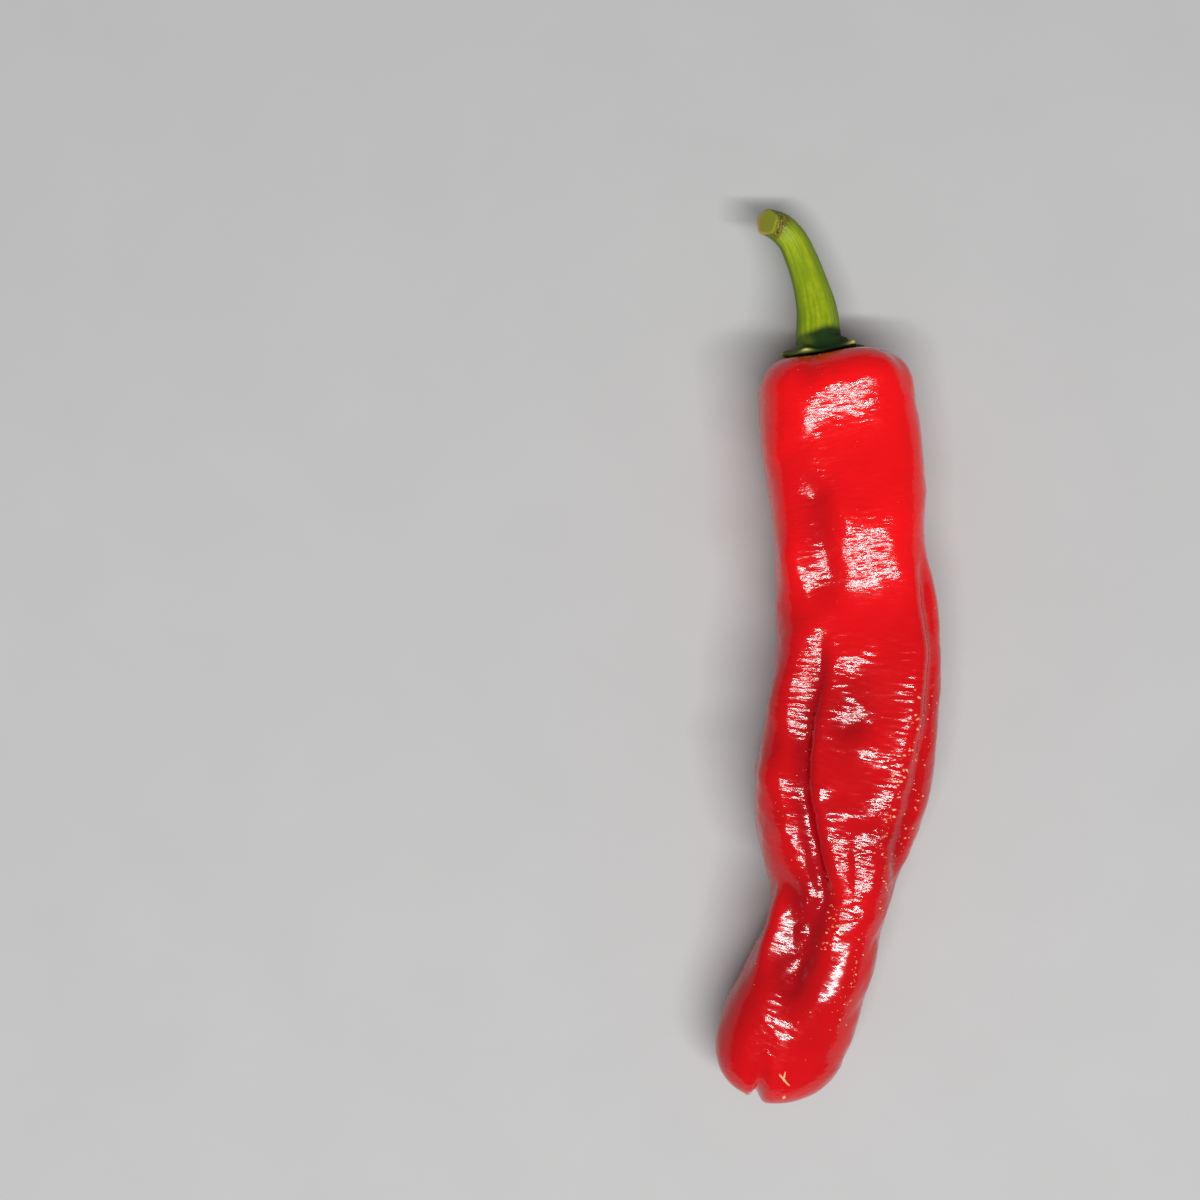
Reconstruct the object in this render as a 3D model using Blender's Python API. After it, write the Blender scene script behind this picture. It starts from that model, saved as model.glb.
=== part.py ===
"""A ripe shishito pepper, picked with its stalk and lying on its side.

Metres, +Z up. The pod runs along Y: its crown, with the stalk, is at +Y and its tip is at -Y.
The fruit is solid here, and it rests on small flat spots at Z = 0.

Both solids are lofts. A ring of the pod is a flattened round in a plane across the pod's centre
line; its size and place come from a few stations along the pod, and its furrows, ridges and dents
are added as smooth strokes. The stalk is one skin from its cut end, down the stem, out over the
calyx to its teeth, and back under the calyx, a hair's breadth above the crown.
"""

import math

import bmesh
import bpy
import numpy as np

MM = 0.001

# Driving dimensions of the pod
POD_LENGTH = 109.0 * MM
CROWN_Y = 44.6 * MM
CROWN_TOP = 0.8 * MM  # from the first station at 0 down to the crown's highest ring
CROWN_ROUNDING = 6.4 * MM
TIP_ROUNDING = 7.6 * MM
TIP_SQUARE = 2.3  # 2 is a round end
CROWN_FLAT = 0.46  # share of the crown's half-width that is nearly flat
CROWN_DIMPLE = 2.1 * MM
CROWN_DIMPLE_SHARE = 0.5  # share of the crown's half-width that the dimple reaches
CROWN_LOBES = 3
CROWN_LOBE_HEIGHT = 0.4 * MM
CROWN_LOBE_TURN = math.radians(58)
CROWN_LEAN = math.radians(4)
POLE_OFFSET = (-2.0 * MM, -0.2 * MM)  # of the stalk from the middle of the crown, across and up

# Driving dimensions of the stalk
CALYX_GAP = 0.35 * MM
CALYX_EDGE = 0.75 * MM
CALYX_RISE = 2.3 * MM  # of the stem's foot above the calyx's plain part
CALYX_REACH = 0.56  # the rim between two teeth, as a share of the crown's half-width
STEM_FOOT = 0.31  # the stem's foot, as a share of the crown's half-width
STEM_FOOT_HEIGHT = 2.9 * MM
TOOTH_LENGTH = 0.15  # as a share of the crown's half-width
TOOTH_ANGLES = (2, 58, 124, 182, 243, 302)
TOOTH_HALF_ANGLE = 13.0
CUT_TILT = math.radians(4)  # of the cut face towards +Z

# How finely the solids are faceted
POD_COLUMNS = 72
POD_BODY_RINGS = 54
# The columns of facets turn with the furrows, by this much between two distances down the pod
COLUMN_TURN = (math.radians(-22), 58 * MM, 80 * MM)
STALK_COLUMNS = 36
STEM_RINGS = 20

# Stations down the pod: distance from the crown, the centre's X, half the width across, the
# highest and the lowest Z, all in millimetres, and how square the ring is (2 is an ellipse).
STATIONS = np.array(
    [
        (-4.0, 0.5, 10.6, 20.8, 0.9, 2.6),
        (0.0, 0.8, 10.7, 21.6, 0.6, 2.7),
        (4.0, 1.0, 11.0, 22.0, 0.3, 2.8),
        (7.5, 1.2, 11.1, 21.5, 0.1, 2.9),
        (11.0, 1.5, 11.3, 20.9, 0.1, 2.9),
        (16.0, 2.2, 11.4, 20.7, 0.0, 2.9),
        (20.5, 2.7, 11.2, 21.0, 0.1, 2.9),
        (25.5, 2.9, 10.8, 21.3, 0.3, 2.9),
        (31.0, 3.2, 10.8, 20.7, 0.5, 2.9),
        (36.5, 3.9, 11.5, 19.9, 0.5, 2.8),
        (44.4, 4.2, 11.7, 20.4, 0.3, 2.6),
        (51.5, 3.8, 11.8, 20.7, 0.1, 2.5),
        (60.2, 2.5, 12.5, 21.0, 0.0, 2.5),
        (67.4, 1.4, 12.0, 20.9, 0.2, 2.5),
        (73.1, 0.8, 10.4, 20.2, 0.8, 2.5),
        (78.9, 0.8, 8.3, 19.4, 1.2, 2.5),
        (83.2, -0.1, 7.9, 18.6, 1.2, 2.5),
        (87.5, -1.2, 8.4, 18.0, 0.9, 2.5),
        (91.8, -2.9, 8.7, 17.4, 0.6, 2.5),
        (96.1, -4.5, 9.2, 16.7, 0.4, 2.5),
        (100.4, -6.1, 9.2, 15.9, 0.3, 2.3),
        (109.0, -7.6, 8.6, 14.6, 0.4, 2.3),
    ]
)

# Strokes run down the pod: a height (negative for a furrow), a half-width, and the points that
# they pass, as (distance from the crown, angle round the pod). Angles are in degrees from +X
# towards +Z, so 90 is the side that faces up. Each stroke fades out over its end stretches.
STROKES = {
    "crown furrow, front": (-0.9, 2.2, ((-3, 116), (3, 117), (6, 117))),
    "crown furrow, right": (-0.6, 2.2, ((-3, 38), (3, 39), (8, 40))),
    "front valley": (-0.7, 2.0, ((18, 112), (24, 107), (30, 107), (36, 112))),
    "left ridge": (0.9, 3.4, ((40, 140), (47, 142), (52, 147), (55, 150))),
    "left furrow": (-1.6, 1.6, ((42, 125), (47, 127), (52, 130), (57, 131), (61, 129), (65, 125))),
    "left furrow, lower end": (-1.3, 1.9, ((67, 121), (72, 113), (76, 106), (79, 103))),
    "middle plain": (-0.6, 4.0, ((44, 104), (49, 103), (55, 99), (62, 95), (66, 92))),
    "right ridge": (0.3, 2.8, ((40, 46), (46, 46), (52, 48), (58, 50), (64, 53))),
    "right furrow": (
        -0.8,
        1.7,
        ((32, 37), (44, 37), (49, 38), (54, 40), (60, 42), (64, 44), (70, 42), (76, 33)),
    ),
    "furrow between the knuckles": (-0.7, 1.4, ((70, 82), (74, 77), (79, 73))),
    "lower valley": (-1.6, 2.3, ((79, 103), (83, 108), (87, 110), (90, 110), (93, 107), (97, 104))),
    "left slope of the lower valley": (-1.1, 2.0, ((80, 123), (86, 126), (92, 123))),
    "lower ridge, right": (0.5, 3.4, ((78, 66), (84, 74), (88, 79), (94, 85))),
    "lower ridge, left": (1.2, 2.1, ((80, 149), (86, 149), (92, 145))),
    "left side furrow": (-0.6, 2.2, ((8, 196), (20, 200), (32, 196), (44, 190), (52, 188))),
    "right side furrow": (-0.6, 2.2, ((30, 356), (44, 352), (58, 350), (70, 352))),
    "under furrow": (
        -1.5,
        2.8,
        ((-3, 272), (14, 270), (40, 268), (66, 272), (78, 268), (92, 270), (103, 272)),
    ),
    "under furrow, left": (-0.5, 2.4, ((28, 214), (44, 212), (60, 210), (72, 212))),
}

# Bumps and dents: a height, a reach down the pod, a reach round it (all in millimetres), then
# the distance from the crown and the angle in degrees.
BLOBS = {
    "swelling by the crown": (0.3, 4.0, 7.0, 5.0, 82),
    "left of the waist": (-0.35, 6.0, 3.0, 16.0, 128),
    "upper right swelling": (0.3, 4.5, 5.0, 25.0, 66),
    "upper left dent": (-0.3, 3.5, 3.0, 24.5, 130),
    "upper left swelling": (0.8, 4.0, 3.0, 31.5, 142),
    "crater": (-0.55, 2.2, 2.6, 54.5, 98),
    "rim of the crater": (0.3, 1.6, 1.8, 56.5, 84),
    "right of the crater": (0.15, 1.8, 2.2, 57.5, 74),
    "bump above the crater": (0.3, 1.6, 1.6, 44.5, 101),
    "left swelling": (0.4, 5.0, 4.0, 47.0, 150),
    "between the left swellings": (-0.4, 2.4, 3.0, 57.5, 150),
    "left belly": (1.0, 4.5, 2.8, 62.2, 148),
    "beside the left belly": (-0.2, 5.0, 3.0, 62.0, 180),
    "left below the belly": (0.6, 2.6, 2.2, 70.5, 137),
    "left, above the waist": (-1.0, 3.5, 3.4, 78.5, 138),
    "high on the right ridge": (1.1, 12.0, 2.8, 47.0, 52),
    "above the right knuckle": (-0.5, 2.8, 3.2, 69.0, 62),
    "right knuckle": (0.4, 3.5, 2.6, 77.0, 62),
    "right flank": (0.45, 12.0, 4.0, 50.0, 20),
    "end of the right lower ridge": (0.7, 6.0, 4.0, 92.0, 80),
    "left lobe of the tip": (0.4, 5.0, 4.5, 100.0, 138),
    "middle of the tip": (0.3, 2.0, 2.0, 96.5, 107),
}

# The cleft between the two lobes of the tip
CLEFT_DEPTH = 2.2 * MM
CLEFT_HALF_WIDTH = 1.4 * MM
CLEFT_OFFSET = -2.6 * MM
RIGHT_LOBE_REACH = 1.0 * MM
TIP_LEAN = math.radians(5)

# The lowest ridges are worn flat this far, where the pepper lies
REST_DEPTH = 0.25 * MM
CUTTER_SIZE = (60 * MM, 140 * MM, 10 * MM)

# The stem's centre line from its foot to its cut end, (X, Y, Z), and its diameter there
STEM_LINE = np.array(
    [
        (-1.5, 49.9, 10.0, 5.7),
        (-2.4, 53.9, 9.4, 4.9),
        (-3.6, 57.5, 9.0, 4.5),
        (-5.0, 60.3, 9.0, 4.2),
        (-6.6, 61.8, 9.4, 4.1),
        (-7.9, 62.3, 10.1, 3.8),
        (-8.7, 62.4, 10.8, 3.6),
    ]
)
STEM_EDGES = 5
STEM_EDGE_HEIGHT = 0.05  # share of the stem's radius

POD_COLOUR = (0.62, 0.006, 0.008, 1.0)
STALK_COLOUR = (0.16, 0.27, 0.02, 1.0)


def clear_scene():
    for old in list(bpy.data.objects):
        bpy.data.objects.remove(old, do_unlink=True)


def smooth_through(at, known, values):
    """A cubic through the known points whose slope at each is that of its two neighbours."""
    slopes = np.gradient(values, known)
    at = np.clip(at, known[0], known[-1])
    left = np.clip(np.searchsorted(known, at, side="right") - 1, 0, len(known) - 2)
    span = known[left + 1] - known[left]
    t = (at - known[left]) / span
    return (
        (2 * t**3 - 3 * t**2 + 1) * values[left]
        + (t**3 - 2 * t**2 + t) * span * slopes[left]
        + (3 * t**2 - 2 * t**3) * values[left + 1]
        + (t**3 - t**2) * span * slopes[left + 1]
    )


def station(column, along):
    """One column of STATIONS at distances along the pod, in metres."""
    return smooth_through(along / MM, STATIONS[:, 0], STATIONS[:, column]) * MM


def fade(along, first, last, soft=7.0):
    """1 between the first and last distance, in millimetres, falling to 0 over a soft end."""
    rise = np.clip((along - first) / soft, 0, 1)
    fall = np.clip((last - along) / soft, 0, 1)
    return (rise * rise * (3 - 2 * rise)) * (fall * fall * (3 - 2 * fall))


def relief(along, angle, girth):
    """How far the skin stands out, in metres, from all strokes and blobs.

    Each is a height times a bell curve of the distance round the pod from its own line.
    """
    total = np.zeros(np.broadcast(along, angle).shape)
    for height, half_width, points in STROKES.values():
        known = np.array(points, float)
        line = smooth_through(along / MM, known[:, 0], np.radians(known[:, 1]))
        across = (angle - line + math.pi) % math.tau - math.pi
        bell = np.exp(-((across * girth / MM / half_width) ** 2))
        total = total + height * MM * bell * fade(along / MM, known[0, 0] - 3, known[-1, 0] + 3)
    for height, reach, half_width, place, turn in BLOBS.values():
        across = (angle - math.radians(turn) + math.pi) % math.tau - math.pi
        down = (along / MM - place) / reach
        total = total + height * MM * np.exp(-(down**2) - (across * girth / MM / half_width) ** 2)
    return total


def ring_radius(along, angle):
    """The plain ring: an ellipse, or a rounder or squarer relative of it, by its own exponent."""
    wide = station(2, along)
    high = (station(3, along) - station(4, along)) / 2
    power = station(5, along) / MM
    return (np.abs(np.cos(angle) / wide) ** power + np.abs(np.sin(angle) / high) ** power) ** (-1 / power)


def pod_skin(along, share, angle):
    """Points of the pod's skin: share is 0 on the centre line and 1 on the full ring."""
    slope = (station(1, along + 0.5 * MM) - station(1, along - 0.5 * MM)) / MM
    length = np.sqrt(1 + slope**2)
    girth = ring_radius(along, angle)
    reach = share * (girth + relief(along, angle, girth))
    across = reach * np.cos(angle) + (1 - share) * POLE_OFFSET[0]
    up = reach * np.sin(angle) + (1 - share) * POLE_OFFSET[1]
    near_crown = np.clip(1 - along / (4 * CROWN_ROUNDING), 0, 1) ** 2
    near_tip = np.clip((along - POD_LENGTH + 2 * TIP_ROUNDING) / (2 * TIP_ROUNDING), 0, 1) ** 2
    cleft = np.exp(-(((across - CLEFT_OFFSET) / CLEFT_HALF_WIDTH) ** 2))
    right_lobe = 1 / (1 + np.exp(-(across - CLEFT_OFFSET) / CLEFT_HALF_WIDTH))
    lobes = CROWN_LOBE_HEIGHT * share * np.cos(CROWN_LOBES * (angle - CROWN_LOBE_TURN))
    shift = near_crown * (across * math.tan(CROWN_LEAN) + lobes)
    tip_shift = CLEFT_DEPTH * cleft - RIGHT_LOBE_REACH * right_lobe + across * math.tan(TIP_LEAN)
    shift = shift + near_tip * tip_shift
    x = station(1, along) + across / length
    y = CROWN_Y - along + across * slope / length + shift
    middle = (station(3, along) + station(4, along)) / 2
    return np.stack([x, y, middle + up], axis=-1)


def crown_depth(share):
    """How far the crown lies below its highest ring: a dimple, then a rounded shoulder."""
    turned = np.clip((share - CROWN_FLAT) / (1 - CROWN_FLAT), 0, 1)
    dimple = CROWN_DIMPLE * np.exp(-((share / CROWN_DIMPLE_SHARE) ** 2))
    return CROWN_TOP + dimple + CROWN_ROUNDING * (1 - np.sqrt(1 - turned**2))


def crown_point(share, angle):
    return pod_skin(crown_depth(share), share, angle)


def skin_mesh(name, rings):
    """A closed mesh over rings of points, where the first and the last ring shrink to one point."""
    count = rings.shape[1]
    points = [rings[0].mean(axis=0), *rings[1:-1].reshape(-1, 3), rings[-1].mean(axis=0)]
    last = len(points) - 1
    turn = np.arange(count)
    beside = (turn + 1) % count
    faces = [(0, 1 + a, 1 + b) for a, b in zip(turn, beside)]
    for ring in range(len(rings) - 3):
        upper, lower = 1 + ring * count, 1 + (ring + 1) * count
        faces += [(upper + a, lower + a, lower + b, upper + b) for a, b in zip(turn, beside)]
    end = 1 + (len(rings) - 3) * count
    faces += [(end + a, last, end + b) for a, b in zip(turn, beside)]
    mesh = bpy.data.meshes.new(name)
    mesh.from_pydata([tuple(p) for p in points], [], faces)
    body = bmesh.new()
    body.from_mesh(mesh)
    bmesh.ops.recalc_face_normals(body, faces=body.faces)
    body.to_mesh(mesh)
    body.free()
    mesh.shade_smooth()
    return mesh


def material(name, colour, roughness):
    made = bpy.data.materials.new(name)
    made.use_nodes = True
    shader = made.node_tree.nodes["Principled BSDF"]
    shader.inputs["Base Color"].default_value = colour
    shader.inputs["Roughness"].default_value = roughness
    shader.inputs["Metallic"].default_value = 0.0
    return made


def put(name, mesh, finish, collection):
    obj = bpy.data.objects.new(name, mesh)
    mesh.materials.append(finish)
    collection.objects.link(obj)
    return obj


def pod_rings():
    """Rings of the pod from the middle of the crown, over the shoulder, down to the tip."""
    angle = np.linspace(0, math.tau, POD_COLUMNS, endpoint=False)
    flat = np.linspace(0, CROWN_FLAT, 5)
    quarter = np.linspace(0, math.pi / 2, 7)[1:]
    crown_share = np.concatenate([flat, CROWN_FLAT + (1 - CROWN_FLAT) * np.sin(quarter)])
    body = np.linspace(CROWN_TOP + CROWN_ROUNDING, POD_LENGTH - TIP_ROUNDING, POD_BODY_RINGS)[1:]
    tip = np.linspace(math.pi / 2, 0, 10)[1:]
    end = POD_LENGTH - TIP_ROUNDING * (1 - np.cos(tip) ** (2 / TIP_SQUARE))
    along = np.concatenate([crown_depth(crown_share), body, end])
    share = np.concatenate([crown_share, np.ones(len(body)), np.sin(tip) ** (2 / TIP_SQUARE)])
    turned, start, stop = COLUMN_TURN
    part = np.clip((along - start) / (stop - start), 0, 1)
    turn = turned * part * part * (3 - 2 * part)
    return pod_skin(along[:, None], share[:, None], angle[None, :] + turn[:, None])


def teeth(angle):
    """1 at the point of each calyx tooth and 0 between the teeth."""
    total = np.zeros_like(angle)
    for middle in TOOTH_ANGLES:
        across = (angle - math.radians(middle) + math.pi) % math.tau - math.pi
        total = total + np.exp(-np.abs(np.degrees(across) / TOOTH_HALF_ANGLE) ** 1.6)
    return np.clip(total, 0, 1)


def stem_rings(angle):
    """Rings from the cut face to the stem's foot, square to the stem's own line."""
    line = STEM_LINE[:, :3] * MM
    radius = STEM_LINE[:, 3] * MM / 2
    foot = crown_point(np.zeros(1), np.zeros(1))[0]
    lean = np.array([-math.sin(CROWN_LEAN), math.cos(CROWN_LEAN), 0])
    foot_radius = STEM_FOOT * station(2, np.zeros(1))
    line = np.vstack([foot + lean * (STEM_FOOT_HEIGHT + 0.9 * MM), line])[::-1]
    radius = np.concatenate([foot_radius * 0.97, radius])[::-1]
    known = np.concatenate([[0], np.cumsum(np.linalg.norm(np.diff(line, axis=0), axis=1))])
    at = np.linspace(0, known[-1], STEM_RINGS)
    centre = np.stack([smooth_through(at, known, line[:, k]) for k in range(3)], axis=-1)
    size = smooth_through(at, known, radius)
    along = np.gradient(centre, at, axis=0)
    along /= np.linalg.norm(along, axis=1)[:, None]
    up = np.array([0, 0, 1]) - along[:, 2:] * along
    up /= np.linalg.norm(up, axis=1)[:, None]
    across = np.cross(up, along)
    edges = 1 + STEM_EDGE_HEIGHT * np.cos(STEM_EDGES * angle)[None, :]
    out = across[:, None, :] * np.cos(angle)[None, :, None] + up[:, None, :] * np.sin(angle)[None, :, None]
    rings = centre[:, None, :] + out * (size[:, None] * edges)[:, :, None]
    # The cut slants, so that its face turns a little upwards.
    slant = (rings[:3, :, 2] - centre[:3, None, 2]) * math.tan(CUT_TILT)
    rings[:3] += along[:3, None, :] * slant[:, :, None]
    return rings


def stalk_rings():
    """Rings from the cut end, down the stem, out over the calyx, and back under it."""
    angle = np.linspace(0, math.tau, STALK_COLUMNS, endpoint=False)
    stem = stem_rings(angle)
    middle = stem[0].mean(axis=0)
    cut = [middle + (stem[0] - middle) * share for share in (0.0, 0.4, 0.75)]
    tooth = teeth(angle)
    rim = CALYX_REACH + TOOTH_LENGTH * tooth
    lean = np.array([-math.sin(CROWN_LEAN), math.cos(CROWN_LEAN), 0])
    over, under = [], []
    for step in (0.06, 0.16, 0.3, 0.5, 0.75, 0.95):
        share = STEM_FOOT + (rim - STEM_FOOT) * step
        flare = CALYX_RISE * np.exp(-(share - STEM_FOOT) / 0.085)
        rib = 0.35 * MM * tooth * np.sin(math.pi * min(step, 0.9))
        curl = 0.5 * MM * tooth * step**3
        rise = CALYX_GAP + CALYX_EDGE * (1 - 0.35 * step) + flare + rib + curl
        over.append(crown_point(share, angle) + lean * rise[:, None])
    for step in (1.0, 0.9, 0.7, 0.45, 0.2, 0.0):
        share = rim * step
        curl = 0.5 * MM * tooth * step**3
        under.append(crown_point(share, angle) + lean * (CALYX_GAP + curl)[:, None])
    return np.array([*cut, *stem, *over, *under])


def rest_flats(pod, helpers):
    """Trims the pod's lowest ridges at Z = 0, which gives it the small flats that it lies on."""
    mesh = bpy.data.meshes.new("floor_cutter")
    body = bmesh.new()
    bmesh.ops.create_cube(body, size=1)
    bmesh.ops.scale(body, vec=CUTTER_SIZE, verts=body.verts)
    bmesh.ops.translate(body, vec=(0, 0, -CUTTER_SIZE[2] / 2), verts=body.verts)
    body.to_mesh(mesh)
    body.free()
    slab = bpy.data.objects.new("floor_cutter", mesh)
    helpers.objects.link(slab)
    slab.hide_render = True
    slab.display_type = "WIRE"
    cut = pod.modifiers.new("rest flats", "BOOLEAN")
    cut.operation = "DIFFERENCE"
    cut.solver = "EXACT"
    cut.object = slab


def main():
    clear_scene()
    pepper = bpy.data.collections.new("shishito_pepper")
    helpers = bpy.data.collections.new("cutters")
    for group in (pepper, helpers):
        bpy.context.scene.collection.children.link(group)
    skin = material("ripe_skin", POD_COLOUR, 0.22)
    green = material("stalk_green", STALK_COLOUR, 0.5)
    rings = (pod_rings(), stalk_rings())
    every = np.concatenate([each.reshape(-1, 3) for each in rings])
    middle = (every.min(axis=0) + every.max(axis=0)) / 2
    middle[2] = every[:, 2].min() + REST_DEPTH
    pod = put("pod", skin_mesh("pod", rings[0] - middle), skin, pepper)
    put("stalk", skin_mesh("stalk", rings[1] - middle), green, pepper)
    rest_flats(pod, helpers)


main()
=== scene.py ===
"""The looks of a ripe shishito pepper, lying on its side with its stalk on.

Lengths are in metres, and in the tables in millimetres. The pod runs along Y, with its crown
and the stalk at +Y and its tip at -Y. Every surface but the floor is a grid over two parameters,
worked out as whole arrays: the distance down the pod or the stalk, and the angle round it.
"""

import math

import bpy
import numpy as np
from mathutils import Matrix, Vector


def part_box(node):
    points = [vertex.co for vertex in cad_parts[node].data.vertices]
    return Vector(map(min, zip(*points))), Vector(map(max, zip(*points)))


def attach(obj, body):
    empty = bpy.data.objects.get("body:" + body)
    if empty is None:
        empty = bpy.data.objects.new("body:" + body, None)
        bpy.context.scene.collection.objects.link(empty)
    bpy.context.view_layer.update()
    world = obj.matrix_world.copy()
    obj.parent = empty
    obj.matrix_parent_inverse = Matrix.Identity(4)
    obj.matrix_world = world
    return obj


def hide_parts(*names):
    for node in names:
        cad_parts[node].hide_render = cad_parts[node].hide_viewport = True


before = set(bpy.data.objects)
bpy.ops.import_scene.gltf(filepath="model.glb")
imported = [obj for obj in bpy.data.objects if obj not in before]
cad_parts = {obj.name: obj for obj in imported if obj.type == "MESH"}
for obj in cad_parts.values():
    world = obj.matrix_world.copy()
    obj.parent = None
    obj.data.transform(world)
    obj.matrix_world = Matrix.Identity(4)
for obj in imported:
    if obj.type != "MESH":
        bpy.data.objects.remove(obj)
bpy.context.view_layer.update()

MM = 0.001
FULL_TURN = math.tau

# The pod's plain form
POD_LENGTH = 109.0 * MM
CROWN_Y = 44.6 * MM
CROWN_TOP = 0.8 * MM
CROWN_ROUNDING = 6.4 * MM
CROWN_FLAT = 0.46
CROWN_DIMPLE = 2.1 * MM
CROWN_DIMPLE_SHARE = 0.5
CROWN_LOBES = 3
CROWN_LOBE_HEIGHT = 0.4 * MM
CROWN_LOBE_TURN = math.radians(58)
CROWN_LEAN = math.radians(4)
POLE_OFFSET = (-2.0 * MM, -0.2 * MM)
TIP_ROUNDING = 7.6 * MM
TIP_SQUARE = 2.3
TIP_LEAN = math.radians(5)
CLEFT_DEPTH = 1.6 * MM
CLEFT_HALF_WIDTH = 0.75 * MM
CLEFT_OFFSET = -2.6 * MM
RIGHT_LOBE_REACH = 1.0 * MM
CROWN_WAY = np.array([-math.sin(CROWN_LEAN), math.cos(CROWN_LEAN), 0])

# Stations down the pod: distance from the crown, the centre's X, half the width across, the
# highest and the lowest Z, all in millimetres, and how square the ring is (2 is an ellipse).
STATIONS = np.array(
    [
        (-4.0, 0.5, 10.6, 20.8, 0.9, 2.6),
        (0.0, 0.8, 10.7, 21.6, 0.6, 2.7),
        (4.0, 1.0, 11.0, 22.0, 0.3, 2.8),
        (7.5, 1.2, 11.1, 21.5, 0.1, 2.9),
        (11.0, 1.5, 11.3, 20.9, 0.1, 2.9),
        (16.0, 2.2, 11.4, 20.7, 0.0, 2.9),
        (20.5, 2.7, 11.2, 21.0, 0.1, 2.9),
        (25.5, 2.9, 10.8, 21.3, 0.3, 2.9),
        (31.0, 3.2, 10.8, 20.7, 0.5, 2.9),
        (36.5, 3.9, 11.5, 19.9, 0.5, 2.8),
        (44.4, 4.2, 11.7, 20.4, 0.3, 2.6),
        (51.5, 3.8, 11.8, 20.7, 0.1, 2.5),
        (60.2, 2.5, 12.5, 21.0, 0.0, 2.5),
        (67.4, 1.4, 12.0, 20.9, 0.2, 2.5),
        (73.1, 0.8, 10.4, 20.2, 0.8, 2.5),
        (78.9, 0.45, 8.65, 19.4, 1.2, 2.5),
        (83.2, -0.3, 8.0, 18.6, 1.2, 2.5),
        (87.5, -1.2, 8.4, 18.0, 0.9, 2.5),
        (91.8, -2.9, 8.7, 17.4, 0.6, 2.5),
        (96.1, -4.5, 9.2, 16.7, 0.4, 2.5),
        (100.4, -6.1, 9.2, 15.9, 0.3, 2.3),
        (109.0, -7.6, 8.6, 14.6, 0.4, 2.3),
    ]
)
CENTRE_X, HALF_WIDTH, HIGHEST, LOWEST, SQUARENESS = range(1, 6)

# Strokes run down the pod: a height (negative for a furrow), a half-width, and the points that
# they pass, as (distance from the crown, angle round the pod). Angles are in degrees from +X
# towards +Z, so 90 is the side that faces up. Each stroke runs on past its end points by the
# lead, and fades in and out over the fade, both in millimetres.
STROKE_LEAD = 3
STROKE_FADE = 7
STROKES = {
    "crown furrow, front": (-0.9, 2.2, ((-3, 116), (3, 117), (6, 117))),
    "crown furrow, right": (-0.6, 2.2, ((-3, 38), (3, 39), (8, 40))),
    "front valley": (-1.25, 3.2, ((19, 122), (25, 121), (31, 119), (36, 118))),
    "fold beside the front valley": (0.25, 1.5, ((20, 108), (24, 101), (28, 92))),
    "left ridge": (0.9, 3.4, ((40, 140), (47, 142.5), (52, 148), (56, 152))),
    "left furrow": (
        -1.5,
        1.6,
        ((42, 125), (47, 127), (52, 130), (57, 131), (61, 129), (65, 125), (72, 113.5), (79, 103)),
    ),
    "left furrow, at the waist": (-0.5, 1.6, ((74, 110), (79, 103))),
    "middle plain": (-0.5, 4.0, ((44, 104), (49, 103), (55, 98), (62, 88))),
    "right ridge": (0.3, 2.8, ((40, 46), (46, 46), (52, 48), (58, 50), (64, 53))),
    "right furrow": (-0.8, 1.7, ((32, 37), (44, 37), (49, 38), (54, 40), (62, 43), (70, 42), (76, 33))),
    "furrow between the knuckles": (-0.4, 1.0, ((69, 80), (72, 77), (76, 74), (80, 72))),
    "waist fold, upper": (-0.22, 0.5, ((71, 112), (74, 106), (78, 95))),
    "waist fold, lower": (-0.22, 0.5, ((71, 105), (74, 98), (77, 90))),
    "lower valley": (-1.6, 2.3, ((79, 103), (83, 108), (87, 110), (90, 110), (93, 107), (97, 104))),
    "left slope of the lower valley": (-1.1, 2.0, ((80, 124), (86, 128), (92, 126))),
    "lower ridge, right": (0.5, 3.4, ((78, 66), (84, 74), (88, 78), (96, 84))),
    "lower ridge, left": (1.2, 1.8, ((77.5, 148), (81, 150), (86, 150), (92, 147))),
    "above the cleft": (-0.5, 2.0, ((100, 119), (104, 116), (108, 112))),
    "left side furrow": (-0.6, 2.2, ((8, 196), (20, 200), (32, 196), (44, 190), (52, 188))),
    "right side furrow": (-0.6, 2.2, ((30, 356), (44, 352), (58, 350), (70, 352))),
    "under furrow": (-1.5, 2.8, ((-3, 272), (14, 270), (40, 268), (66, 272), (90, 268), (103, 272))),
    "under furrow, left": (-0.5, 2.4, ((28, 214), (44, 212), (60, 210), (72, 212))),
}

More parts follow.
